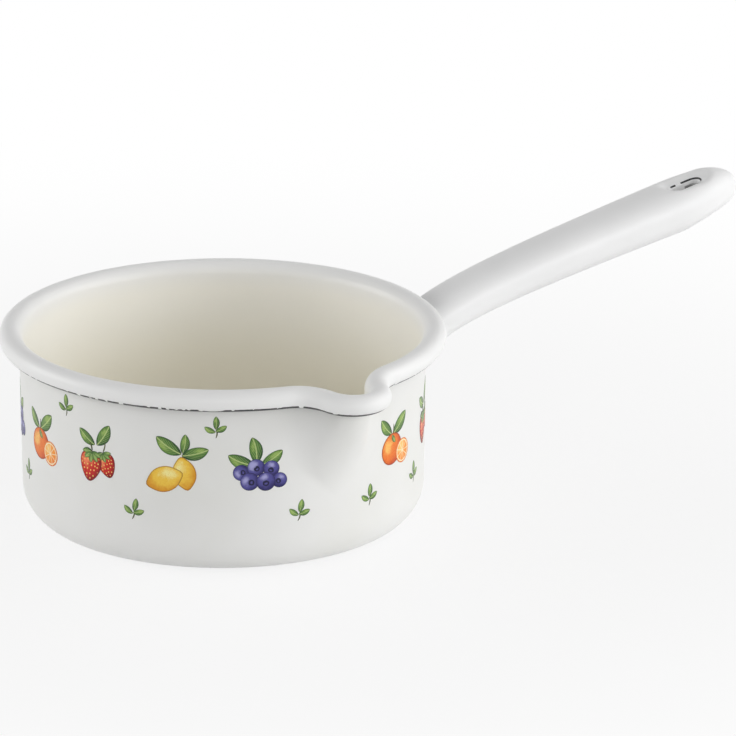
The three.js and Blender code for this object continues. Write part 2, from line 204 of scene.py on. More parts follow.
@dataclass
class PanSection:
    """The pan's section from its axis to the cut edge of the rolled rim."""

    layers: Layers
    wall_radius: float = 80.0
    wall_draft: float = math.radians(0.9)
    rim_height: float = 78.7
    corner_radius: float = 15.5
    entry_radius: float = 5.0
    roll_radius: float = 4.3
    roll_end: float = math.radians(-70)
    cream_end: float = math.radians(145)
    edge_length: float = 0.6
    base_steps: int = 12
    corner_steps: int = 14
    wall_steps: int = 44
    entry_steps: int = 6
    roll_steps: int = 22
    edge_steps: int = 2
    stations: list[Station] = field(init=False, default_factory=list)
    wall_end: int = field(init=False)
    cream_stop: int = field(init=False)
    roll_stop: int = field(init=False)

    def __post_init__(self) -> None:
        """Lay out the stations."""
        turn = self.wall_draft
        entry = self.entry_radius - self.layers.inner_face
        roll = self.roll_radius - self.layers.inner_face
        centre_height = self.rim_height - self.entry_radius
        wall_top = Vector((self.wall_radius, centre_height + entry * math.sin(turn)))
        entry_centre = Vector((self.wall_radius + entry * math.cos(turn), centre_height))
        roll_centre = Vector((entry_centre.x, centre_height + entry - roll))
        corner_top = self.corner_radius * (1 - math.sin(turn))
        corner_reach = self.corner_radius * math.cos(turn)
        flat = self.wall_radius - corner_reach - (wall_top.y - corner_top) * math.tan(turn)
        edge_start = self.roll_end + self.edge_length / self.roll_radius
        quarter = math.pi / 2
        corner_centre = Vector((flat, self.corner_radius))
        self._line(Vector((0.0, 0.0)), Vector((flat, 0.0)), self.base_steps)
        self._arc(corner_centre, self.corner_radius, -quarter, -turn, self.corner_steps)
        self.wall_end = self._line(Vector((flat + corner_reach, corner_top)), wall_top, self.wall_steps)
        self.cream_stop = self._arc(entry_centre, entry, math.pi - turn, self.cream_end, self.entry_steps)
        self._arc(entry_centre, entry, self.cream_end, quarter, self.entry_steps)
        self.roll_stop = self._arc(roll_centre, roll, quarter, edge_start, self.roll_steps)
        self._arc(roll_centre, roll, edge_start, self.roll_end, self.edge_steps)

    def _add(self, point: Vector, along: Vector) -> None:
        """Add a station, unless the last one already stands there."""
        last = self.stations[-1] if self.stations else None
        if last and (last.point - point).length < MERGE:
            return
        run = last.run + (last.point - point).length if last else 0.0
        self.stations.append(Station(point, Vector((-along.y, along.x)), along, run))

    def _line(self, start: Vector, end: Vector, steps: int) -> int:
        """Add the stations of a straight stretch, and return the number of the last one."""
        for step in range(steps + 1):
            self._add(start.lerp(end, step / steps), (end - start).normalized())
        return len(self.stations) - 1

    def _arc(self, centre: Vector, radius: float, start: float, end: float, steps: int) -> int:
        """Add the stations of an arc from one angle to another, and return the number of the last one."""
        way = 1.0 if end > start else -1.0
        for step in range(steps + 1):
            angle = blend(start, end, step / steps)
            ray = Vector((math.cos(angle), math.sin(angle)))
            self._add(centre + ray * radius, Vector((-ray.y, ray.x)) * way)
        return len(self.stations) - 1

    def wall_radius_at(self, height: float) -> float:
        """Return the radius of the finished wall at a height on its straight stretch."""
        top = self.stations[self.wall_end].point.y
        return self.wall_radius - (top - height) * math.tan(self.wall_draft)


@dataclass
class Spout:
    """The pouring spout: a round tip between two round shoulders, fading out down the wall."""

    section: PanSection
    reach: float = 17.0
    tip_radius: float = 8.0
    shoulder_radius: float = 22.0
    foot_height: float = 29.0
    foot_rounding: float = 3.0
    dip: float = 1.8
    crowding: float = 0.65

    def plan_line(self, angle: float, share: float) -> tuple[Vector, Vector]:
        """Find the wall line in plan.

        Args:
            angle: Angle from the spout's middle, not negative.
            share: How much of the spout's reach there is at this height.

        Returns:
            The point as (across, out) and its outward direction.
        """
        radius = self.section.wall_radius
        reach = self.reach * share
        rounding = self.tip_radius * blend(self.foot_rounding, 1.0, share)
        ray = Vector((math.sin(angle), math.cos(angle)))
        tip = Vector((0.0, radius + reach - rounding))
        stand = radius + self.shoulder_radius
        joined = rounding + self.shoulder_radius
        spread = math.acos(min((stand ** 2 + tip.y ** 2 - joined ** 2) / (2 * stand * tip.y), 1.0))
        if reach <= 0 or angle >= spread:
            return ray * radius, ray
        shoulder = Vector((math.sin(spread), math.cos(spread))) * stand
        meeting = tip.lerp(shoulder, rounding / joined)
        if angle <= math.atan2(meeting.x, meeting.y):
            across = tip.y * math.sin(angle)
            point = ray * (tip.y * math.cos(angle) + math.sqrt(rounding ** 2 - across ** 2))
            return point, (point - tip).normalized()
        across = stand * math.sin(spread - angle)
        near = stand * math.cos(spread - angle) - math.sqrt(self.shoulder_radius ** 2 - across ** 2)
        return ray * near, (shoulder - ray * near).normalized()

    def placed(self, angle: float, radius: float, height: float) -> Vector:
        """Place a point of the turned pan on the pressed one.

        Args:
            angle: Angle round the axis from the spout towards the handle.
            radius: Distance from the axis before the press.
            height: Height before the press.

        Returns:
            The point in the pan's frame.
        """
        rim_start = self.section.stations[self.section.wall_end].point.y
        share = smoothstep(height, self.foot_height, rim_start)
        point, outward = self.plan_line(abs(angle), share)
        pressed = point.length - self.section.wall_radius
        point = point + outward * (radius - self.section.wall_radius)
        across = math.copysign(1.0, angle) * point.x
        return Vector((across, -point.y, height - self.dip * pressed / self.reach))

    def press(self, edit: BMesh) -> None:
        """Press the spout into a turned mesh, drawing its facets closer together there."""
        for vert in edit.verts:
            turn = math.atan2(vert.co.x, -vert.co.y)
            angle = turn - self.crowding * math.sin(turn)
            vert.co = self.placed(angle, vert.co.xy.length, vert.co.z)


@dataclass
class Pan:
    """The pressed body of the pan with its coats."""

    layers: Layers
    section: PanSection
    spout: Spout
    quarter_steps: int = 60
    edge_bevel: float = 0.6

    def turned(self, profile: Sequence[tuple[Vector, float]], loop: bool) -> BMesh:
        """Spin a profile a quarter round the axis, mirror it twice and press the spout into it.

        Args:
            profile: Points in the XZ plane, each with its length along the section.
            loop: Whether the profile closes on itself away from the axis.

        Returns:
            The mesh of a closed solid.
        """
        edit = bmesh.new()
        run = edit.verts.layers.float.new("run")
        line = []
        for point, length in profile:
            vert = edit.verts.new(point)
            vert[run] = length
            line.append(vert)
        for pair in zip(line, line[1:] + line[:1] if loop else line[1:]):
            edit.edges.new(pair)
        bmesh.ops.spin(edit, geom=edit.verts[:] + edit.edges[:], cent=(0, 0, 0), axis=(0, 0, 1),
                       dvec=(0, 0, 0), angle=math.pi / 2, steps=self.quarter_steps)
        for axis in "XY":
            bmesh.ops.mirror(edit, geom=edit.verts[:] + edit.edges[:] + edit.faces[:],
                             matrix=Matrix.Identity(4), merge_dist=MERGE, axis=axis)
        closed(edit)
        self.spout.press(edit)
        return edit

    def layer(self, first: int, last: int, outer: float, inner: float) -> BMesh:
        """Make one layer between two stations and two depths."""
        run = self.section.stations[first:last + 1]
        profile = [(station.at(outer), station.run) for station in run]
        profile += [(station.at(inner), station.run) for station in reversed(run)]
        return self.turned(profile, loop=first > 0)

    def edge_coat(self) -> BMesh:
        """Make the dark coat that wraps the cut edge of the roll."""
        start = self.section.stations[self.section.roll_stop]
        edge = self.section.stations[-1]
        wrap = Vector((edge.along.x, 0.0, edge.along.y)) * self.layers.enamel
        inside, face = self.layers.steel_inside, self.layers.inner_face
        cut = edge.at(self.layers.enamel)
        corners = [start.at(inside), edge.at(inside), cut, cut + wrap,
                   edge.at(face) + wrap * self.edge_bevel, start.at(face)]
        return self.turned([(corner, edge.run) for corner in corners], loop=True)

    def build(self, finishes: "Finishes") -> None:
        """Build and dress every layer."""
        last = len(self.section.stations) - 1
        enamel, inside, face = self.layers.enamel, self.layers.steel_inside, self.layers.inner_face
        wall, cream, roll = self.section.wall_end, self.section.cream_stop, self.section.roll_stop
        Piece("pan_pressing", "pan_steel", ("pan_shell",)).finish(
            self.layer(0, last, enamel, inside), finishes.ground_steel)
        Piece("pan_outside_coat", "white_enamel", ("exterior_enamel",)).finish(
            self.layer(0, wall, 0.0, enamel), finishes.white)
        Piece("pan_inside_coat", "cream_enamel", ("interior_enamel",)).finish(
            self.layer(0, cream, inside, face), finishes.cream)
        Piece("rim_coat", "rim_white_enamel", ("rim_enamel",)).finish(
            self.layer(cream, roll, inside, face), finishes.rim)
        Piece("rim_edge", "ground_coat", ("rim_edge_coat",)).finish(self.edge_coat(), finishes.edge)


# The handle


class Half(Enum):
    """The two pressings of the handle."""

    UPPER = 1
    LOWER = -1


@dataclass
class Handle:
    """The hollow handle with its hanging eye."""

    layers: Layers
    section: PanSection
    root_height: float = 48.9
    root_rise: float = math.radians(40.5)
    root_pull: float = 28.0
    tip_reach: float = 247.6
    tip_height: float = 93.2
    tip_rise: float = math.radians(9.4)
    tip_pull: float = 142.0
    root_width: float = 22.0
    tip_width: float = 26.0
    root_depth: float = 14.8
    tip_depth: float = 19.9
    squareness: float = 2.3
    nose_length: float = 34.0
    brow_length: float = 20.0
    chin_length: float = 29.0
    chin_rise: float = 4.7
    chin_round: float = 3.0
    seam_height: float = 0.8
    seam_slack: float = 0.01
    fillet: float = 4.0
    hold_length: float = 12.0
    seat_gap: float = 0.3
    eye_length: float = 14.0
    eye_width: float = 5.5
    eye_from_tip: float = 22.6
    lip_depth: float = 3.0
    lip_width: float = 6.0
    lip_edge: float = 1.1
    lip_wear: tuple[tuple[float, float], ...] = (
        (0.0, 1.0), (0.2, 1.0), (0.5, 0.86), (0.56, 0.0), (0.76, 0.0), (0.82, 1.0), (1.1, 1.0), (1.2, 0.0),
        (2.15, 0.0), (2.3, 0.85), (3.0, 0.85), (3.15, 0.9), (3.3, 1.0), (4.0, 1.0))
    wear_band: float = 5.5
    wall_cuts: tuple[float, ...] = (0.07, 0.11, 0.3, 0.48, 0.52, 0.7, 0.89, 0.93)
    # Outside the span below, the hole's inner wall is darkened by a set amount: painted shade in its recess,
    # not wear.
    wall_span: tuple[float, float] = (0.35, 3.2)
    hole_wall_painted_shade: float = 0.62
    window_margin: float = 1.3
    half_steps: int = 40
    root_steps: int = 10
    body_steps: int = 70
    nose_steps: int = 48
    eye_points: int = 72
    edge_steps: int = 8
    search_steps: int = 40
    settle_steps: int = 4

    @property
    def wall(self) -> float:
        """Return the radius of the wall that the handle stands on."""
        return self.section.wall_radius

    @property
    def eye_reach(self) -> float:
        """Return the distance of the eye's middle from the pan's axis."""
        return self.tip_reach - self.eye_from_tip

    @property
    def eye_straight(self) -> float:
        """Return half the length of the eye's straight sides."""
        return (self.eye_length - self.eye_width) / 2

    @cached_property
    def eye_line(self) -> tuple[float, float]:
        """Return the height and the rise of the middle line at the eye."""
        return self.line_at(self.eye_reach)

    def line_at(self, reach: float) -> tuple[float, float]:
        """Follow the handle's middle line.

        Args:
            reach: Distance from the pan's axis.

        Returns:
            The line's height and its rise as an angle.
        """
        if reach <= self.wall:
            return self.root_height - (self.wall - reach) * math.tan(self.root_rise), self.root_rise
        start = Vector((self.wall, self.root_height))
        end = Vector((self.tip_reach, self.tip_height))
        lead = start + Vector((math.cos(self.root_rise), math.sin(self.root_rise))) * self.root_pull
        trail = end - Vector((math.cos(self.tip_rise), math.sin(self.tip_rise))) * self.tip_pull

        def point(share: float) -> Vector:
            """Return the point of the curve at a share of its own run."""
            rest = 1 - share
            return (start * rest ** 3 + lead * (3 * rest * rest * share)
                    + trail * (3 * rest * share * share) + end * share ** 3)

        low, high = 0.0, 1.0
        for _ in range(self.search_steps):
            middle = (low + high) / 2
            low, high = (middle, high) if point(middle).x < reach else (low, middle)
        rest = 1 - low
        slope = ((lead - start) * (rest * rest) + (trail - lead) * (2 * rest * low)
                 + (end - trail) * (low * low))
        return point(low).y, math.atan2(slope.y, slope.x)

    def sizes_at(self, reach: float, depth: float, flare: float) -> tuple[float, float, float, float]:
        """Work out the upright section at a reach.

        Args:
            reach: Distance from the pan's axis.
            depth: Depth under the finished face.
            flare: How far the root spreads here.

        Returns:
            The line's height, the half width, and the sizes above and below the seam.
        """
        height, rise = self.line_at(reach)
        share = clamp((reach - self.wall) / (self.tip_reach - self.wall))
        left = max(self.tip_reach - reach - depth, 0.0)

        def rounded(length: float) -> float:
            """Return how much of a rounded end is left here."""
            gone = clamp((length - left) / length)
            return math.sqrt(1 - gone * gone)

        width = blend(self.root_width, self.tip_width, share) / 2 + flare - depth
        deep = blend(self.root_depth, self.tip_depth, share) / 2 + flare - depth
        chin = self.chin_rise * clamp((self.chin_length - left) / self.chin_length)
        return (height, width * rounded(self.nose_length - depth),
                deep * rounded(self.brow_length - depth) / math.cos(rise),
                (deep - chin) * rounded(self.chin_round - depth) / math.cos(rise))

    def along_eye(self, reach: float, height: float) -> float:
        """Return how far towards the tip a place lies from the line that the eye is cut along."""
        middle, rise = self.eye_line
        return reach + (height - middle) * math.tan(rise) - self.eye_reach

    def dish(self, reach: float, across: float, height: float) -> float:
        """Return how far the handle's face is drawn in round the eye.

        Args:
            reach: Distance from the pan's axis.
            across: Distance from the handle's middle.
            height: Height of the face before it is drawn in.

        Returns:
            The depth of the lip there.
        """
        past = max(abs(self.along_eye(reach, height)) - self.eye_straight, 0.0)
        out = math.hypot(past, across) - self.eye_width / 2
        return self.lip_depth * (1 - smoothstep(out, 0.0, self.lip_width))

    def ring(self, reach: float, depth: float, flare: float) -> list[Vector]:
        """Return the closed section at a reach, from the +Y side over the top and back below."""
        height, width, up, down = self.sizes_at(reach, depth, flare)
        power = 2 / self.squareness
        points = []
        for half, rise in ((Half.UPPER, up), (Half.LOWER, down)):
            for step in range(self.half_steps + 1):
                angle = math.pi * step / self.half_steps
                side = math.cos(angle) * half.value
                across = width * math.copysign(abs(side) ** power, side)
                raised = self.seam_height / 2 + rise * math.sin(angle) ** power
                dished = raised - self.dish(reach, across, height + half.value * raised) * math.sin(angle)
                points.append(Vector((reach, across, height + half.value * dished)))
        return points

    def skin_height(self, reach: float, across: float, half: Half, depth: float) -> float:
        """Return the height of the upper or lower face at a place, at a depth under the finished one."""
        height, width, up, down = self.sizes_at(reach, depth, 0.0)
        rise = up if half is Half.UPPER else down
        share = min(abs(across) / width, 1.0)
        raised = self.seam_height / 2 + rise * (1 - share ** self.squareness) ** (1 / self.squareness)
        return height + half.value * (raised - self.dish(reach, across, height + half.value * raised))

    def reaches(self, depth: float) -> list[float]:
        """Return the distances from the axis at which a layer of the handle is cut into sections."""
        root_end, nose_start = self.wall + self.fillet, self.tip_reach - self.nose_length
        start = self.wall + (self.seat_gap if depth else 0.0)
        roots = [blend(start, root_end, (step / self.root_steps) ** 2) for step in range(self.root_steps)]
        body = [blend(root_end, nose_start, step / self.body_steps) for step in range(self.body_steps)]
        nose = [blend(nose_start, self.tip_reach - depth, math.sin(math.pi / 2 * step / self.nose_steps))
                for step in range(self.nose_steps + 1)]
        return roots + body + nose

    def seated_ring(self, reach: float, depth: float, flared: bool) -> list[Vector]:
        """Return a section of a layer, drawn on to the wall near the root, and flared there or not."""
        near = clamp((reach - self.wall) / self.fillet)
        flare = self.fillet * (1 - math.sqrt(1 - (1 - near) ** 2)) if flared else 0.0
        points = self.ring(reach, depth, flare)
        hold = 1 - smoothstep(reach - self.wall, 0.0, self.hold_length)
        for point in points:
            radius = self.section.wall_radius_at(point.z)
            point.x += hold * (math.sqrt(radius ** 2 - point.y ** 2) - self.wall)
        return points

    def eye_ring(self, margin: float) -> list[Vector]:
        """Return the oblong outline of the eye in plan, a margin larger all round.

        Args:
            margin: How much larger the outline is than the finished hole.

        Returns:
            The points of the far side, the root end, the near side and the tip end, as many of each.
        """
        radius = self.eye_width / 2 + margin
        points = []
        for step in range(self.eye_points):
            run, share = divmod(4 * step / self.eye_points, 1.0)
            side = 1 - 2 * share if run % 2 == 0 else 1.0
            angle = math.pi / 2 * (1 + 2 * (run // 2) + (2 * share if run % 2 else 0.0))
            along = self.eye_straight * side * (1 if run in (0, 3) else -1)
            reach = self.eye_reach + along + radius * math.cos(angle)
            points.append(Vector((reach, radius * math.sin(angle), 0.0)))
        return points

    def lip_rings(self, half: Half, depth: float) -> list[list[Vector]]:
        """Return the rings that round one lip over from a layer's face to the wall of its hole."""
        middle, rise = self.eye_line
        edge = self.lip_edge - depth
        rings = []
        for step in range(self.edge_steps + 1):
            turn = math.pi / 2 * step / self.edge_steps
            ring = self.eye_ring(depth + edge * (1 - math.sin(turn)))
            drop = edge * (1 - math.cos(turn))
            for point in ring:
                place = point.x
                for _ in range(self.settle_steps):
                    point.z = self.skin_height(point.x, point.y, half, depth) - half.value * drop
                    point.x = place - (point.z - middle) * math.tan(rise)
            rings.append(ring)
        return rings

    def wear_at(self, place: float) -> float:
        """Return how far the coat has drawn back from the eye's edge, at a place counted in runs."""
        for (start, first), (end, last) in zip(self.lip_wear, self.lip_wear[1:]):
            if place <= end:
                return blend(first, last, (place - start) / (end - start))
        return self.lip_wear[-1][1]

    def draw_eye(self, edit: BMesh, depth: float) -> None:
        """Add the eye's lips and wall to a layer's face, with a mask of worn lips and painted shade in the
        hole.
        """
        bare = edit.verts.layers.float["bare"]
        upper, lower = (self.lip_rings(half, depth) for half in Half)
        wall = [[top.lerp(low, share) for top, low in zip(upper[-1], lower[-1])] for share in self.wall_cuts]
        wall_stop = len(upper) + len(wall)
        edges = (self.edge_steps // 2, wall_stop + self.edge_steps // 2)
        for number, vert in enumerate(lofted(edit, upper + wall + lower[::-1])):
            ring, place = divmod(number, self.eye_points)
            turn = 4 * place / self.eye_points
            near = min(abs(ring - edge) for edge in edges)
            # On the hole's wall outside that span the mask takes a set value: painted shade in the recess.
            if len(upper) < ring < wall_stop - 1 and not self.wall_span[0] < turn < self.wall_span[1]:
                vert[bare] = self.hole_wall_painted_shade
            else:
                vert[bare] = max(1.0 - near / self.wear_band, 0.0) * self.wear_at(turn)

    def side_of(self, place: Vector) -> int:
        """Return on which half a place lies, or 0 on the seam."""
        above = place.z - self.line_at(place.x)[0]
        return 0 if abs(above) < self.seam_height / 2 - self.seam_slack else int(math.copysign(1, above))

    def skin(self, depth: float) -> BMesh:
        """Make the face of a layer, with the eye drawn in.

        Args:
            depth: Depth of the face under the finished one.

        Returns:
            The face, open at the root.
        """
        edit = bmesh.new()
        edit.verts.layers.float.new("bare")
        lofted(edit, [self.seated_ring(reach, depth, not depth) for reach in self.reaches(depth)])
        closed(edit)
        half_length = self.eye_length / 2 + self.lip_edge + self.window_margin
        half_width = self.eye_width / 2 + self.lip_edge + self.window_margin

        def in_window(face: BMFace) -> bool:
            """Say whether a face lies where the eye and its lips go."""
            place = face.calc_center_median()
            along = abs(self.along_eye(place.x, place.z))
            return math.hypot(max(along - half_length + half_width, 0.0), place.y) < half_width

        bmesh.ops.delete(edit, geom=[face for face in edit.faces if in_window(face)], context="FACES")
        self.draw_eye(edit, depth)
        nearest = self.eye_reach - 2 * half_length
        rims = [edge for edge in edit.edges if edge.is_boundary and edge.verts[0].co.x > nearest]
        for half in Half:
            loops = [edge for edge in rims if self.side_of(edge.verts[0].co) == half.value]
            bmesh.ops.bridge_loops(edit, edges=loops)
        closed(edit)
        return edit

    def coat(self) -> BMesh:
        """Make the coat over the handle."""
        edit = self.skin(0.0)
        bmesh.ops.solidify(edit, geom=edit.faces[:], thickness=self.layers.enamel)
        return edit

    def pressing(self, half: Half) -> BMesh:
        """Make one of the two steel pressings."""
        edit = self.skin(self.layers.enamel)
        other = [face for face in edit.faces if self.side_of(face.calc_center_median()) != half.value]
        bmesh.ops.delete(edit, geom=other, context="FACES")
        bmesh.ops.solidify(edit, geom=edit.faces[:], thickness=self.layers.steel)
        return edit

    def root_weld(self) -> BMesh:
        """Make the fillet weld that goes round the root under the coat."""
        depth = self.layers.enamel
        reaches = self.reaches(depth)[:self.root_steps + 1]
        flared, straight = ([self.seated_ring(reach, depth, spread) for reach in reaches]
                            for spread in (True, False))
        edit = bmesh.new()
        lofted(edit, straight[:1] + flared + straight[-2::-1])
        closed(edit)
        return edit

    def build(self, finishes: "Finishes") -> None:
        """Build and dress the handle."""
        Piece("handle_root_fillet", "handle_steel", ("handle_root_weld",)).finish(
            self.root_weld(), finishes.bare_steel)
        Piece("handle_coat", "handle_white_enamel", ("handle_enamel",)).finish(self.coat(), finishes.handle)
        for half in Half:
            name = half.name.lower()
            Piece(f"handle_{name}_pressing", "handle_steel", (f"handle_{name}_shell",)).finish(
                self.pressing(half), finishes.bare_steel)


# The print


class Outline(Enum):
    """The outlines that the print is drawn from, each in half widths and half heights."""

    ROUND = "round"
    EGG = "egg"
    LEMON = "lemon"
    LEAF = "leaf"

    def edge(self, angle: float) -> Vector:
        """Return the outline's point at an angle from its top."""
        across, up = math.sin(angle), math.cos(angle)
        if self is Outline.EGG:
            return Vector((across * (0.9 + 0.3 * up), up))
        if self is Outline.LEMON:
            return Vector((across, up * (0.84 + 0.16 * up ** 10)))
        if self is Outline.LEAF:
            return Vector((across * math.sqrt(abs(across)), up))
        return Vector((across, up))


class Ink(Enum):
    """The inks of the print, each of which is a piece of its own."""

    STRAWBERRY = "print_strawberries"
    LEMON = "print_lemons"
    BLUEBERRY = "print_blueberries"
    TANGERINE = "print_tangerines"
    SLICE = "print_slices"
    LEAF = "print_leaves"
    STEM = "print_stems"


@dataclass(frozen=True)
class Dab:
    """One shape of a motif, in millimetres from the motif's middle on the unrolled wall."""

    ink: Ink
    outline: Outline
    across: float
    up: float
    half_width: float
    half_height: float
    tilt: float = 0.0
    bend: float = 0.0

    def point(self, angle: float, rim: float) -> Vector:
        """Return a point of the shape, at an angle and a share of the way to its outline."""
        local = self.outline.edge(angle) * rim
        across = local.x * self.half_width + self.bend * (1 - local.y ** 2)
        flat = Vector((across, local.y * self.half_height))
        return Matrix.Rotation(-math.radians(self.tilt), 2) @ flat + Vector((self.across, self.up))

    def grown(self) -> "Dab":
        """Return the shape moved along its tilt, so that it grows from the point it stood on."""
        turn = math.radians(self.tilt)
        return replace(self, across=self.across + self.half_height * math.sin(turn),
                       up=self.up + self.half_height * math.cos(turn))


LEAF_SHARE = 0.24
STEM_HALF_WIDTH = 0.28


def leaf(across: float, up: float, length: float, tilt: float, bend: float = 0.5) -> Dab:
    """Return a leaf that grows from a point, tilted clockwise from upright."""
    return Dab(Ink.LEAF, Outline.LEAF, across, up, length * LEAF_SHARE, length / 2, tilt, bend).grown()


def stem(across: float, up: float, length: float, tilt: float, bend: float = 0.4) -> Dab:
    """Return a stem that grows from a point, tilted clockwise from upright."""
    return Dab(Ink.STEM, Outline.ROUND, across, up, STEM_HALF_WIDTH, length / 2, tilt, bend).grown()


def strawberries() -> list[Dab]:
    """Return a pair of strawberries under a leaf, back to front."""
    shapes = [leaf(0.5, 5.5, 11.0, 38.0), leaf(-0.5, 5.5, 9.5, -52.0, -0.5)]
    for across, up, size, tilt in ((4.6, -2.2, 5.2, -16.0), (-3.4, -3.4, 6.4, 12.0)):
        turn = math.radians(tilt)
        top = Vector((across + size * math.sin(turn), up + size * math.cos(turn)))
        shapes.append(stem(top.x, top.y, math.hypot(top.x, 6.0 - top.y), -tilt * 1.2, 0.3))
        shapes.append(Dab(Ink.STRAWBERRY, Outline.EGG, across, up, size * 0.88, size, tilt))
        shapes += [leaf(top.x, top.y - 0.2, size * 0.75, tilt + 180 + spread, 0.2)
                   for spread in (-78.0, -42.0, 0.0, 42.0, 78.0)]
    return shapes


def lemons() -> list[Dab]:
    """Return two lemons, one of them lying down, on a twig with three leaves."""
    return [stem(2.6, 3.6, 6.0, 10.0), leaf(3.0, 6.4, 11.0, 70.0), leaf(2.8, 7.0, 12.0, -62.0, -0.6),
            leaf(3.2, 7.4, 8.0, 4.0), Dab(Ink.LEMON, Outline.LEMON, 4.6, -0.8, 4.7, 7.0, -16.0),
            Dab(Ink.LEMON, Outline.LEMON, -3.2, -4.2, 5.2, 8.0, 64.0)]


def blueberries() -> list[Dab]:
    """Return a loose heap of blueberries with three leaves."""
    shapes = [leaf(-1.6, 2.4, 11.0, -66.0, -0.7), leaf(-0.6, 3.0, 11.0, -8.0, 0.7),
              leaf(1.4, 2.4, 10.0, 58.0, 0.6)]
    for across, up, size in ((-6.6, -0.4, 3.3), (-0.8, 1.4, 3.5), (5.2, 0.6, 3.3), (-3.4, -4.2, 3.7),
                             (8.4, -4.4, 3.1), (3.0, -4.6, 3.8)):
        shapes.append(Dab(Ink.BLUEBERRY, Outline.ROUND, across, up, size, size, across * 9))
    return shapes


def tangerines() -> list[Dab]:
    """Return a tangerine with a cut slice in front of it and two leaves."""
    return [leaf(-1.6, 3.6, 12.0, 58.0), leaf(-2.6, 3.8, 10.0, -40.0, -0.6), stem(-2.2, 2.8, 5.0, 14.0),
            Dab(Ink.TANGERINE, Outline.ROUND, -2.6, -2.4, 6.9, 6.4, -12.0), leaf(-2.4, 3.4, 4.2, 150.0, 0.2),
            Dab(Ink.SLICE, Outline.ROUND, 5.0, -5.6, 5.0, 5.0, 10.0)]


def sprig() -> list[Dab]:
    """Return a small sprig of three leaves."""
    return [stem(0.0, -4.2, 4.0, 6.0), leaf(0.2, -0.6, 5.4, 4.0, 0.2), leaf(0.0, -1.4, 5.0, 66.0, 0.3),
            leaf(0.0, -1.8, 4.8, -60.0, -0.3)]


@dataclass
class FruitPrint:
    """A transfer print of fruits in a row, with leaf sprigs in the gaps, fired into the outside coat."""

    spout: Spout
    pitch: float = 24.0
    row_height: float = 44.0
    sprig_heights: tuple[float, float] = (62.0, 26.0)
    bare_fruits: tuple[int, ...] = (0, 3, 4)
    bare_sprigs: tuple[int, ...] = (3,)
    spout_sprigs: tuple[int, ...] = (-1, 0)
    sway: float = 9.0
    lift: float = 0.03
    step_lift: float = 0.012
    sink: float = 0.05
    segments: int = 28
    insets: tuple[float, ...] = (0.08, 0.22, 0.22, 0.22)
    seed: int = 7

    def disc(self) -> Mesh:
        """Make the flat disc of concentric rings that every shape is drawn from."""
        def middle() -> BMFace:
            """Return the face in the middle, which has the most corners."""
            return max(edit.faces, key=lambda face: len(face.verts))

        edit = bmesh.new()
        bmesh.ops.create_circle(edit, cap_ends=True, segments=self.segments, radius=1.0)
        for inset in self.insets:
            bmesh.ops.inset_region(edit, faces=[middle()], thickness=inset, use_boundary=True)
        bmesh.ops.poke(edit, faces=[middle()])
        return finished_mesh("print_disc", edit)

    def motifs(self) -> list[tuple[float, float, list[Dab]]]:
        """Lay out the motifs.

        Returns:
            The angle from the spout in degrees, the height and the shapes of each motif.
        """
        count = round(360 / self.pitch)
        turns = range(-(count // 2), count - count // 2)
        kinds = (strawberries, lemons, blueberries, tangerines)
        placed = []
        for number, turn in enumerate(turn for turn in turns if turn not in self.bare_fruits):
            placed.append((turn * self.pitch, self.row_height, kinds[number % len(kinds)]()))
        for turn in turns:
            if turn not in self.bare_sprigs:
                low = turn % 2 or turn in self.spout_sprigs
                placed.append(((turn + 0.5) * self.pitch, self.sprig_heights[1 if low else 0], sprig()))
        return placed

    def build(self, finishes: "Finishes") -> None:
        """Draw every motif on the wall, and join the shapes of each ink into a piece."""
        draws = random.Random(self.seed)
        disc = self.disc()
        sheets = {ink: bmesh.new() for ink in Ink}
        for angle, height, dabs in self.motifs():
            sway = draws.uniform(-self.sway, self.sway)
            for order, dab in enumerate(dabs):
                self.draw(sheets[dab.ink], disc, dab, (angle, height, sway), order, draws.random())
        for ink, edit in sheets.items():
            bmesh.ops.recalc_face_normals(edit, faces=edit.faces[:])
            Piece(ink.value, "white_enamel").finish(edit, finishes.inks[ink])
        bpy.data.meshes.remove(disc)

    def draw(self, edit: BMesh, disc: Mesh, dab: Dab, place: tuple[float, float, float], order: int,
             tone: float) -> None:
        """Draw one shape on the wall.

        Args:
            edit: The mesh that the shape is added to.
            disc: The disc that the shape is drawn from.
            dab: The shape.
            place: The motif's angle from the spout, its height and its sway, with both angles in degrees.
            order: How many shapes of the motif lie under this one.
            tone: The shape's own tone, from 0 to 1.
        """
        patch = bmesh.new()
        patch.from_mesh(disc)
        local = patch.verts.layers.float_vector.new("local")
        toned = patch.verts.layers.float.new("tone")
        angle, height, sway = place
        turn = Matrix.Rotation(-math.radians(sway), 2)
        lift = self.lift + self.step_lift * order
        for vert in patch.verts:
            rim = min(vert.co.xy.length, 1.0)
            around = math.atan2(vert.co.x, vert.co.y)
            shape = dab.outline.edge(around) * rim
            vert[local] = Vector((shape.x, shape.y, rim))
            vert[toned] = tone
            flat = turn @ dab.point(around, rim)
            tall = height + flat.y
            radius = self.spout.section.wall_radius_at(tall)
            vert.co = self.spout.placed(math.radians(angle) + flat.x / radius, radius + lift, tall)
        bmesh.ops.recalc_face_normals(patch, faces=patch.faces[:])
        patch.faces.ensure_lookup_table()
        first = patch.faces[0]
        middle = first.calc_center_median()
        if first.normal.dot(Vector((middle.x, middle.y, 0.0))) < 0:
            bmesh.ops.reverse_faces(patch, faces=patch.faces[:])
        bmesh.ops.solidify(patch, geom=patch.faces[:], thickness=lift + self.sink)
        mesh = finished_mesh("print_patch", patch)
        edit.from_mesh(mesh)
        bpy.data.meshes.remove(mesh)


# Finishes


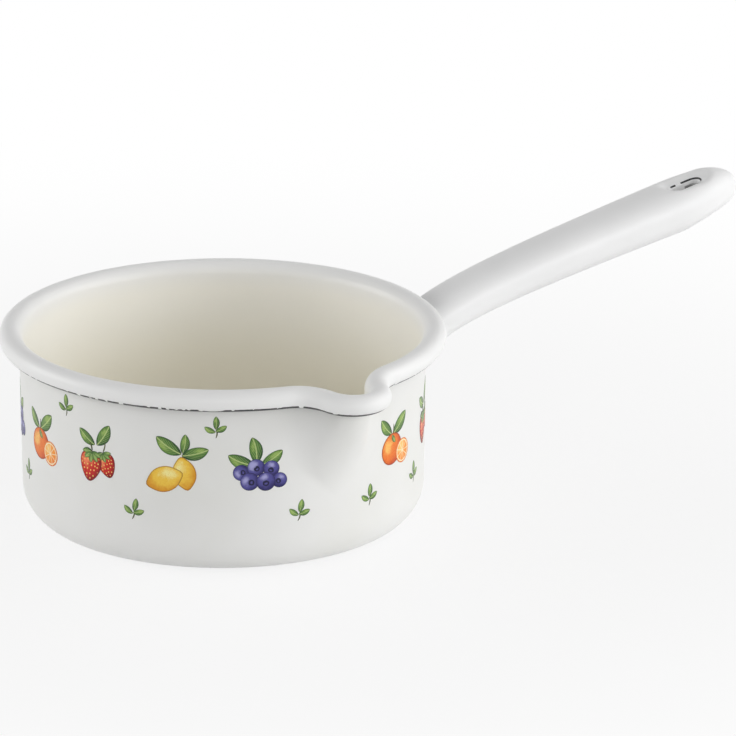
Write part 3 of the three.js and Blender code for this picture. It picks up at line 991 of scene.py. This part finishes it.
class Grain(Enum):
    """The noises in the finishes, each with its scale, its detail and its roughness."""

    WAVES = (38.0, 1.0, 0.5)
    SKIN = (620.0, 2.0, 0.5)
    CLOUD = (22.0, 3.0, 0.5)
    WASH = (520.0, 4.0, 0.65)
    DRIFT = (60.0, 2.0, 0.5)
    BREAKS = (34.0, 1.0, 0.5)
    GAPS = (320.0, 1.0, 0.5)
    FRAY = (600.0, 2.0, 0.5)
    CHIPS = (120.0, 2.0, 0.5)
    MILL_SCALE = (240.0, 4.0, 0.5)


class Span(Enum):
    """The ranges that masks are drawn over: where each starts and ends, and its values there."""

    CLOUDED = (0.35, 0.75)
    TO_BODY = (0.25, 0.85)
    TO_SHADE = (0.85, 1.6)
    DRAWN_EDGE = (0.9, 0.985, 0.0, 0.75)
    SEED = (0.22, 0.14)
    SEED_FIELD = (0.93, 0.82)
    CROWN = (0.42, 0.34)
    CROWN_MIDDLE = (0.1, 0.2)
    PORE = (0.3, 0.1, 0.0, 0.4)
    SEGMENT_WALL = (0.06, 0.02)
    CORE = (0.16, 0.08)
    RIB = (0.12, 0.04)
    VEIN = (0.12, 0.03)
    VEIN_FIELD = (0.95, 0.7, 0.0, 0.7)
    RIM_BREAKS = (0.24, 0.36, 0.0, 1.08)
    RIM_GAPS = (0.34, 0.42)
    RIM_LINE = (-0.05, 0.1)
    EYE_CHIPS = (0.35, 0.65, -0.05, 0.05)
    EYE_LINE = (0.56, 0.72)
    STEEL_ROUGHNESS = (0.3, 0.7, 0.35, 0.55)


class Nodes:
    """A node tree with short ways to add and link nodes."""

    def __init__(self, tree: NodeTree) -> None:
        """Keep the tree."""
        self.tree = tree

    def add(self, kind: str, inputs: dict | None = None, **settings: object) -> Node:
        """Add a node.

        Args:
            kind: The node's type name without its prefix.
            inputs: Values or sockets for its inputs, by name or number.
            settings: Values for its own properties.

        Returns:
            The node.
        """
        node = self.tree.nodes.new("ShaderNode" + kind)
        for name, value in settings.items():
            setattr(node, name, value)
        for name, value in (inputs or {}).items():
            if isinstance(value, NodeSocket):
                self.tree.links.new(value, node.inputs[name])
            else:
                node.inputs[name].default_value = value
        return node

    def math(self, operation: str, *values: object) -> NodeSocket:
        """Add a Math node and return its output."""
        return self.add("Math", dict(enumerate(values)), operation=operation).outputs[0]

    def mix(self, share: object, first: object, second: object, way: str = "MIX") -> NodeSocket:
        """Mix two colours and return the output."""
        node = self.add("Mix", {0: share, 6: first, 7: second}, data_type="RGBA", blend_type=way)
        return node.outputs[2]

    def spread(self, value: NodeSocket, low: float, high: float, start: float = 0.0,
               end: float = 1.0) -> NodeSocket:
        """Spread a range smoothly over another and return the output."""
        inputs = dict(enumerate((value, low, high, start, end)))
        return self.add("MapRange", inputs, interpolation_type="SMOOTHSTEP").outputs[0]

    def ramp(self, value: NodeSocket, span: Span) -> NodeSocket:
        """Spread one of the named ranges and return the output."""
        return self.spread(value, *span.value)

    def place(self) -> NodeSocket:
        """Return the place on the object."""
        return self.add("TexCoord").outputs["Object"]

    def carried(self, name: str, output: str = "Fac") -> NodeSocket:
        """Return a value that the mesh carries."""
        return self.add("Attribute", attribute_name=name).outputs[output]

    def noise(self, grain: Grain, where: NodeSocket) -> NodeSocket:
        """Add a noise and return its output."""
        scale, detail, roughness = grain.value
        inputs = {"Vector": where, "Scale": scale, "Detail": detail, "Roughness": roughness}
        return self.add("TexNoise", inputs).outputs[0]

    def strayed(self, value: object, noise: NodeSocket, amount: float) -> NodeSocket:
        """Move a value to and fro by a noise and return the output."""
        return self.math("MULTIPLY_ADD", self.math("SUBTRACT", noise, 0.5), amount, value)

    def distance(self, where: NodeSocket, point: tuple[float, float, float]) -> NodeSocket:
        """Return how far a place is from a point."""
        return self.add("VectorMath", {0: where, 1: point}, operation="DISTANCE").outputs["Value"]


class Mixture(Nodes):
    """The nodes of a material and its shader."""

    def __init__(self, name: str, constants: dict[str, object]) -> None:
        """Start the material.

        Args:
            name: The material's name.
            constants: The inputs of its shader that don't vary.
        """
        self.material = bpy.data.materials.new(name)
        self.material.use_nodes = True
        super().__init__(self.material.node_tree)
        self.shader = self.tree.nodes["Principled BSDF"]
        for socket, value in constants.items():
            self.shader.inputs[socket].default_value = value

    def feed(self, name: str, socket: NodeSocket) -> None:
        """Link a socket to an input of the shader."""
        self.tree.links.new(socket, self.shader.inputs[name])

    def coloured(self, colour: NodeSocket) -> Material:
        """Link the colour and return the material."""
        self.feed("Base Color", colour)
        return self.material


FINE_SKIN = 0.025
CLOUD_ROUGHNESS = 0.08


def fired_skin() -> NodeTree:
    """Build the group for what fired enamel does: slow waves, a fine skin and faint clouding.

    Returns:
        The group, whose outputs are a height for a bump, a roughness and a cloud mask.
    """
    group = bpy.data.node_groups.new("fired_skin", "ShaderNodeTree")
    sockets = {"Vector": ("Vector", "INPUT"), "Gloss": ("Float", "INPUT"), "Height": ("Float", "OUTPUT"),
               "Roughness": ("Float", "OUTPUT"), "Cloud": ("Float", "OUTPUT")}
    for name, (kind, way) in sockets.items():
        group.interface.new_socket(name, in_out=way, socket_type="NodeSocket" + kind)
    pen = Nodes(group)
    given = group.nodes.new("NodeGroupInput").outputs
    where = given["Vector"]
    waves, skin, cloud = (pen.noise(grain, where) for grain in (Grain.WAVES, Grain.SKIN, Grain.CLOUD))
    results = {"Height": pen.math("MULTIPLY_ADD", skin, FINE_SKIN, waves),
               "Roughness": pen.strayed(given["Gloss"], cloud, CLOUD_ROUGHNESS), "Cloud": cloud}
    out = group.nodes.new("NodeGroupOutput").inputs
    for name, socket in results.items():
        group.links.new(socket, out[name])
    return group


@dataclass(frozen=True)
class Enamel:
    """A fired enamel: its colour, the tint that clouds it, its gloss and how its surface waves."""

    name: str
    colour: Shade
    cloud: Shade
    gloss: float = 0.34
    wave: float = 0.12
    WAVE_HEIGHT = 0.0006
    CONSTANTS = {"IOR": 1.5, "Specular IOR Level": 0.3}

    def start(self, group: NodeTree) -> tuple[Mixture, NodeSocket]:
        """Start the material with everything but its colour.

        Args:
            group: The shared group of the fired skin.

        Returns:
            The material's nodes and its cloud mask.
        """
        pen = Mixture(self.name, self.CONSTANTS)
        skin = pen.add("Group", {}, node_tree=group)
        pen.tree.links.new(pen.place(), skin.inputs["Vector"])
        skin.inputs["Gloss"].default_value = self.gloss
        height = skin.outputs["Height"]
        bump = pen.add("Bump", {"Height": height, "Strength": self.wave, "Distance": self.WAVE_HEIGHT})
        pen.feed("Roughness", skin.outputs["Roughness"])
        pen.feed("Normal", bump.outputs[0])
        return pen, skin.outputs["Cloud"]

    def clouded(self, group: NodeTree) -> tuple[Mixture, NodeSocket]:
        """Start the material, and return its nodes and its clouded colour, which is not yet linked."""
        pen, mask = self.start(group)
        return pen, pen.mix(pen.ramp(mask, Span.CLOUDED), srgb(self.colour), srgb(self.cloud))

    def plain(self, group: NodeTree) -> Material:
        """Return the material with its clouded colour alone."""
        pen, colour = self.clouded(group)
        return pen.coloured(colour)


class Marking(Enum):
    """What is drawn inside a printed shape."""

    SEEDS = "seeds"
    PEEL = "peel"
    CROWN = "crown"
    SEGMENTS = "segments"
    VEINS = "veins"
    NONE = "none"


@dataclass(frozen=True)
class PrintInk:
    """A fired print ink: its three tones, its drawn edge and its marking."""

    light: Shade
    body: Shade
    shade: Shade
    line: Shade
    marking: Marking = Marking.NONE
    mark: Shade = (0, 0, 0)
    HIGHLIGHT = (-0.34, 0.36, 0.5)
    WASH = 0.9
    TONE_WEIGHT = 0.25
    SEED_SCALE = 3.4
    SEED_STRAY = 0.35
    CROWN_AT = (0.12, -0.2, 0.24)
    CROWN_FRAY = 0.5
    PORE_SCALE = 9.0
    SEGMENTS = 9
    PITH = (0.84, 0.05)
    VEIN_SLANT = -1.1
    VEIN_COUNT = 3.2

    def material(self, name: str, group: NodeTree) -> Material:
        """Mix the ink.

        Args:
            name: The material's name.
            group: The shared group of the fired skin.

        Returns:
            The material.
        """
        pen, _ = Enamel(name, self.body, self.body).start(group)
        local = pen.carried("local", "Vector")
        parts = pen.add("SeparateXYZ", {0: local}).outputs
        grain = pen.noise(Grain.WASH, pen.place())
        washed = pen.strayed(pen.distance(local, self.HIGHLIGHT), grain, self.WASH)
        toned = pen.math("MULTIPLY_ADD", pen.carried("tone"), self.TONE_WEIGHT, washed)
        colour = pen.mix(pen.ramp(toned, Span.TO_BODY), srgb(self.light), srgb(self.body))
        colour = pen.mix(pen.ramp(toned, Span.TO_SHADE), colour, srgb(self.shade))
        if self.marking is not Marking.NONE:
            colour = pen.mix(self.mask(pen, local, parts, grain), colour, srgb(self.mark))
        return pen.coloured(pen.mix(pen.ramp(parts[2], Span.DRAWN_EDGE), colour, srgb(self.line)))

    def mask(self, pen: Nodes, local: NodeSocket, parts: Sequence[NodeSocket],
             grain: NodeSocket) -> NodeSocket:
        """Draw the marking's mask.

        Args:
            pen: The material's nodes.
            local: The place in the shape.
            parts: The same, as across, up and share of the way to the outline.
            grain: A fine noise.

        Returns:
            The mask's socket.
        """
        across, up, rim = parts
        if self.marking is Marking.SEEDS:
            inputs = {"Vector": local, "Scale": self.SEED_SCALE, "Randomness": self.SEED_STRAY}
            cells = pen.add("TexVoronoi", inputs, voronoi_dimensions="2D").outputs["Distance"]
            return pen.math("MULTIPLY", pen.ramp(cells, Span.SEED), pen.ramp(rim, Span.SEED_FIELD))
        if self.marking is Marking.CROWN:
            frayed = pen.strayed(pen.distance(local, self.CROWN_AT), grain, self.CROWN_FRAY)
            return pen.math("MULTIPLY", pen.ramp(frayed, Span.CROWN), pen.ramp(frayed, Span.CROWN_MIDDLE))
        if self.marking is Marking.PEEL:
            inputs = {"Vector": local, "Scale": self.PORE_SCALE}
            pores = pen.add("TexVoronoi", inputs, voronoi_dimensions="2D").outputs["Distance"]
            return pen.ramp(pores, Span.PORE)
        if self.marking is Marking.SEGMENTS:
            turn = pen.math("MULTIPLY", pen.math("ARCTAN2", across, up), self.SEGMENTS / math.tau)
            walls = pen.math("MULTIPLY", pen.math("PINGPONG", turn, 0.5), rim)
            ends = pen.math("MAXIMUM", pen.math("COMPARE", rim, *self.PITH), pen.ramp(rim, Span.CORE))
            return pen.math("MAXIMUM", pen.ramp(walls, Span.SEGMENT_WALL), ends)
        aside = pen.math("ABSOLUTE", across)
        slant = pen.math("MULTIPLY_ADD", aside, self.VEIN_SLANT, up)
        wave = pen.math("PINGPONG", pen.math("MULTIPLY", slant, self.VEIN_COUNT), 0.5)
        veins = pen.math("MULTIPLY", pen.ramp(wave, Span.VEIN), pen.ramp(rim, Span.VEIN_FIELD))
        return pen.math("MAXIMUM", pen.ramp(aside, Span.RIB), veins)


@dataclass
class Finishes:
    """Every finish of the pan."""

    section: PanSection
    fade_below: float = 10.0
    fade_above: float = 1.6
    drift: float = 1.2
    deep_below: float = 45.0
    deep_tint: Colour = (1.0, 0.985, 0.935, 1.0)
    fray: float = 0.3
    rim_white: Colour = srgb((244, 244, 243))
    dark: Colour = srgb((44, 44, 46))
    white: Material = field(init=False)
    cream: Material = field(init=False)
    rim: Material = field(init=False)
    edge: Material = field(init=False)
    handle: Material = field(init=False)
    ground_steel: Material = field(init=False)
    bare_steel: Material = field(init=False)
    inks: dict[Ink, Material] = field(init=False)

    def __post_init__(self) -> None:
        """Mix every finish."""
        skin = fired_skin()
        cream = Enamel("cream_enamel", (252, 250, 243), (250, 248, 240))
        edge = Enamel("dark_ground_coat", (52, 52, 54), (84, 82, 80), 0.3, 0.3)
        ground = Enamel("ground_coat_on_steel", (70, 70, 72), (88, 88, 88), 0.4, 0.3)
        self.white = Enamel("white_enamel", (240, 240, 238), (236, 236, 232)).plain(skin)
        self.handle = self.grip(Enamel("handle_white_enamel", (244, 244, 244), (240, 240, 240)), skin)
        self.cream = self.inside(cream, skin)
        self.rim = self.bead(replace(cream, name="rim_white_enamel"), skin)
        self.edge = edge.plain(skin)
        self.ground_steel = ground.plain(skin)
        self.bare_steel = self.steel()
        dark_green, pale_green = (38, 62, 34), (186, 204, 132)
        inks = {
            Ink.STRAWBERRY: PrintInk((244, 134, 92), (206, 44, 34), (138, 20, 28), (96, 22, 24),
                                     Marking.SEEDS, (250, 216, 120)),
            Ink.LEMON: PrintInk((255, 240, 160), (247, 205, 78), (222, 150, 40), (150, 100, 36),
                                Marking.PEEL, (232, 170, 50)),
            Ink.BLUEBERRY: PrintInk((168, 166, 214), (84, 80, 150), (46, 42, 98), (34, 30, 62),
                                    Marking.CROWN, (30, 28, 60)),
            Ink.TANGERINE: PrintInk((255, 196, 104), (240, 124, 40), (204, 72, 26), (128, 52, 24),
                                    Marking.PEEL, (214, 88, 30)),
            Ink.SLICE: PrintInk((255, 206, 120), (250, 158, 62), (240, 130, 44), (206, 92, 28),
                                Marking.SEGMENTS, (255, 236, 196)),
            Ink.LEAF: PrintInk((150, 180, 92), (86, 128, 58), (48, 84, 44), dark_green,
                               Marking.VEINS, pale_green),
            Ink.STEM: PrintInk((110, 118, 62), (84, 88, 46), (62, 60, 36), dark_green)}
        self.inks = {ink: mixed.material(ink.value, skin) for ink, mixed in inks.items()}

    def changing(self, cream: Enamel, group: NodeTree) -> tuple[Mixture, NodeSocket, NodeSocket]:
        """Start a finish that goes softly from cream to the rim's white along the pan's section.

        Args:
            cream: The enamel inside the pan.
            group: The shared group of the fired skin.

        Returns:
            The material's nodes, the length along the section and the colour, which is not yet linked.
        """
        pen, colour = cream.clouded(group)
        run = pen.carried("run")
        moved = pen.strayed(run, pen.noise(Grain.DRIFT, pen.place()), self.drift)
        share = pen.spread(moved, self.change - self.fade_below, self.change + self.fade_above)
        return pen, run, pen.mix(share, colour, self.rim_white)

    @property
    def change(self) -> float:
        """Return the length along the section at which cream gives way to white."""
        return self.section.stations[self.section.cream_stop].run

    def inside(self, cream: Enamel, group: NodeTree) -> Material:
        """Mix the cream finish of the inside, which deepens towards the base and turns white at the rim."""
        pen, run, colour = self.changing(cream, group)
        deep = pen.spread(run, self.change - self.fade_below, self.change - self.deep_below)
        return pen.coloured(pen.mix(deep, colour, self.deep_tint, "MULTIPLY"))

    def bead(self, cream: Enamel, group: NodeTree) -> Material:
        """Mix the white finish of the rolled rim, which thins to a broken dark line along its cut edge."""
        pen, run, colour = self.changing(cream, group)
        where = pen.place()
        slow, gaps, fine = (pen.noise(grain, where) for grain in (Grain.BREAKS, Grain.GAPS, Grain.FRAY))
        long = pen.math("MULTIPLY", pen.ramp(slow, Span.RIM_BREAKS), pen.ramp(gaps, Span.RIM_GAPS))
        reach = pen.math("MULTIPLY_ADD", fine, self.fray, long)
        start = pen.math("SUBTRACT", self.section.stations[self.section.roll_stop].run, reach)
        dark = pen.ramp(pen.math("SUBTRACT", run, start), Span.RIM_LINE)
        return pen.coloured(pen.mix(dark, colour, self.dark))

    def grip(self, white: Enamel, group: NodeTree) -> Material:
        """Mix the handle's white, worn to a broken dark line at the eye, with painted shade inside the hole.
        """
        pen, colour = white.clouded(group)
        chips = pen.ramp(pen.noise(Grain.CHIPS, pen.place()), Span.EYE_CHIPS)
        # The carried mask is the worn lip edges plus painted shade on the hole's wall; both mix towards the
        # dark colour.
        dark = pen.ramp(pen.math("ADD", pen.carried("bare"), chips), Span.EYE_LINE)
        return pen.coloured(pen.mix(dark, colour, self.dark))

    def steel(self) -> Material:
        """Mix the finish of the bare sheet inside the handle."""
        pen = Mixture("bare_steel", {"Metallic": 1.0})
        scale = pen.noise(Grain.MILL_SCALE, pen.place())
        pen.feed("Roughness", pen.ramp(scale, Span.STEEL_ROUGHNESS))
        return pen.coloured(pen.mix(scale, srgb((120, 121, 123)), srgb((160, 160, 160))))


# The studio


@dataclass(frozen=True)
class Lamp:
    """A soft light: its place as seen from the camera's side, its size in metres and its power."""

    name: str
    azimuth: float
    elevation: float
    width: float
    height: float
    power: float
    distance: float = 2.4


@dataclass
class Studio:
    """Floor, soft lights and camera."""

    azimuth: float = math.radians(-34.5)
    elevation: float = math.radians(18.22)
    distance: float = 5000.0
    lens: float = 621.9
    sensor_width: float = 36.0
    sight: float = 100.0
    target: tuple[float, float, float] = (47.03, -32.33, 60.28)
    white: Colour = (1.0, 1.0, 1.0, 1.0)
    world_light: float = 0.25
    floor_colour: Colour = (0.9, 0.9, 0.9, 1.0)
    floor_roughness: float = 0.9
    floor_size: float = 30.0
    floor_gap: float = 0.0001
    floor_veil: float = 0.82
    veil_near: float = 0.16
    veil_far: float = 0.5
    lamps: tuple[Lamp, ...] = (
        Lamp("right_front", 60.0, 15.0, 1.6, 1.2, 15.0),
        Lamp("right_side", 85.0, 15.0, 1.6, 1.2, 13.0),
        Lamp("right_back", 105.0, 35.0, 1.8, 1.8, 12.5),
        Lamp("front", 0.0, 15.0, 1.6, 1.2, 8.5),
        Lamp("left_front", -65.0, 15.0, 1.6, 1.2, 5.0),
        Lamp("left_side", -95.0, 15.0, 1.6, 1.2, 20.0))

    def away(self, azimuth: float, elevation: float) -> Vector:
        """Return the direction at an angle round the pan and above the floor."""
        level = math.cos(elevation)
        return Vector((math.sin(azimuth) * level, -math.cos(azimuth) * level, math.sin(elevation)))

    def camera(self) -> None:
        """Set up the camera at the photograph's angle."""
        camera = added("camera", bpy.data.cameras.new("camera"))
        camera.data.lens = self.lens
        camera.data.sensor_width = self.sensor_width
        camera.data.clip_end = self.sight
        away = self.away(self.azimuth, self.elevation)
        camera.location = (Vector(self.target) + away * self.distance) * MM
        camera.rotation_euler = away.to_track_quat("Z", "Y").to_euler()
        bpy.context.scene.camera = camera

    def hang(self, lamp: Lamp) -> None:
        """Hang a soft light that faces the pan."""
        away = self.away(self.azimuth + math.radians(lamp.azimuth), math.radians(lamp.elevation))
        light = bpy.data.lights.new(lamp.name, "AREA")
        light.shape = "RECTANGLE"
        light.size = lamp.width
        light.size_y = lamp.height
        light.energy = lamp.power
        hung = added(lamp.name, light)
        hung.location = away * lamp.distance + Vector(self.target) * MM
        hung.rotation_euler = away.to_track_quat("Z", "Y").to_euler()

    def shown(self, pen: Nodes) -> NodeSocket:
        """Return the mask of the rays that show the background."""
        path = pen.add("LightPath").outputs
        seen = pen.math("ADD", path["Is Camera Ray"], path["Is Glossy Ray"])
        return pen.math("MINIMUM", pen.math("ADD", seen, path["Is Transmission Ray"]), 1.0)

    def floor(self) -> None:
        """Lay the plain pale floor, which keeps the pan's shadow and goes to white round it."""
        edit = bmesh.new()
        drop = Matrix.Translation((0.0, 0.0, -self.floor_gap))
        bmesh.ops.create_grid(edit, x_segments=1, y_segments=1, size=self.floor_size, matrix=drop)
        mesh = finished_mesh("floor", edit)
        pen = Mixture("pale_floor", {"Base Color": self.floor_colour, "Roughness": self.floor_roughness})
        white = pen.add("Emission", {"Color": self.white, "Strength": 1.0})
        reach = pen.add("VectorMath", {0: pen.place()}, operation="LENGTH").outputs["Value"]
        veil = pen.spread(reach, self.veil_near, self.veil_far, self.floor_veil, 1.0)
        share = pen.math("MULTIPLY", self.shown(pen), veil)
        mixed = pen.add("MixShader", {0: share, 1: pen.shader.outputs[0], 2: white.outputs[0]})
        pen.tree.links.new(mixed.outputs[0], pen.tree.nodes["Material Output"].inputs["Surface"])
        mesh.materials.append(pen.material)
        added("floor", mesh)

    def world(self) -> None:
        """Set the plain white background and its weak light."""
        world = bpy.data.worlds.new("studio")
        world.use_nodes = True
        bpy.context.scene.world = world
        pen = Nodes(world.node_tree)
        plain = pen.tree.nodes["Background"]
        plain.inputs["Color"].default_value = self.white
        strength = pen.spread(self.shown(pen), 0.0, 1.0, self.world_light, 1.0)
        pen.tree.links.new(strength, plain.inputs["Strength"])

    def build(self) -> None:
        """Set up the whole studio."""
        bpy.context.scene.view_settings.view_transform = "Standard"
        self.camera()
        self.floor()
        self.world()
        for lamp in self.lamps:
            self.hang(lamp)


def main() -> None:
    """Build the pan and its studio."""
    logging.basicConfig(level=logging.INFO, format="%(name)s %(message)s")
    layers = Layers()
    section = PanSection(layers)
    spout = Spout(section)
    finishes = Finishes(section)
    Pan(layers, section, spout).build(finishes)
    Handle(layers, section).build(finishes)
    FruitPrint(spout).build(finishes)
    seam_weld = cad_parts["handle_seam_weld"].data
    seam_weld.materials.clear()
    seam_weld.materials.append(finishes.bare_steel)
    Studio().build()


if __name__ == "__main__":
    main()
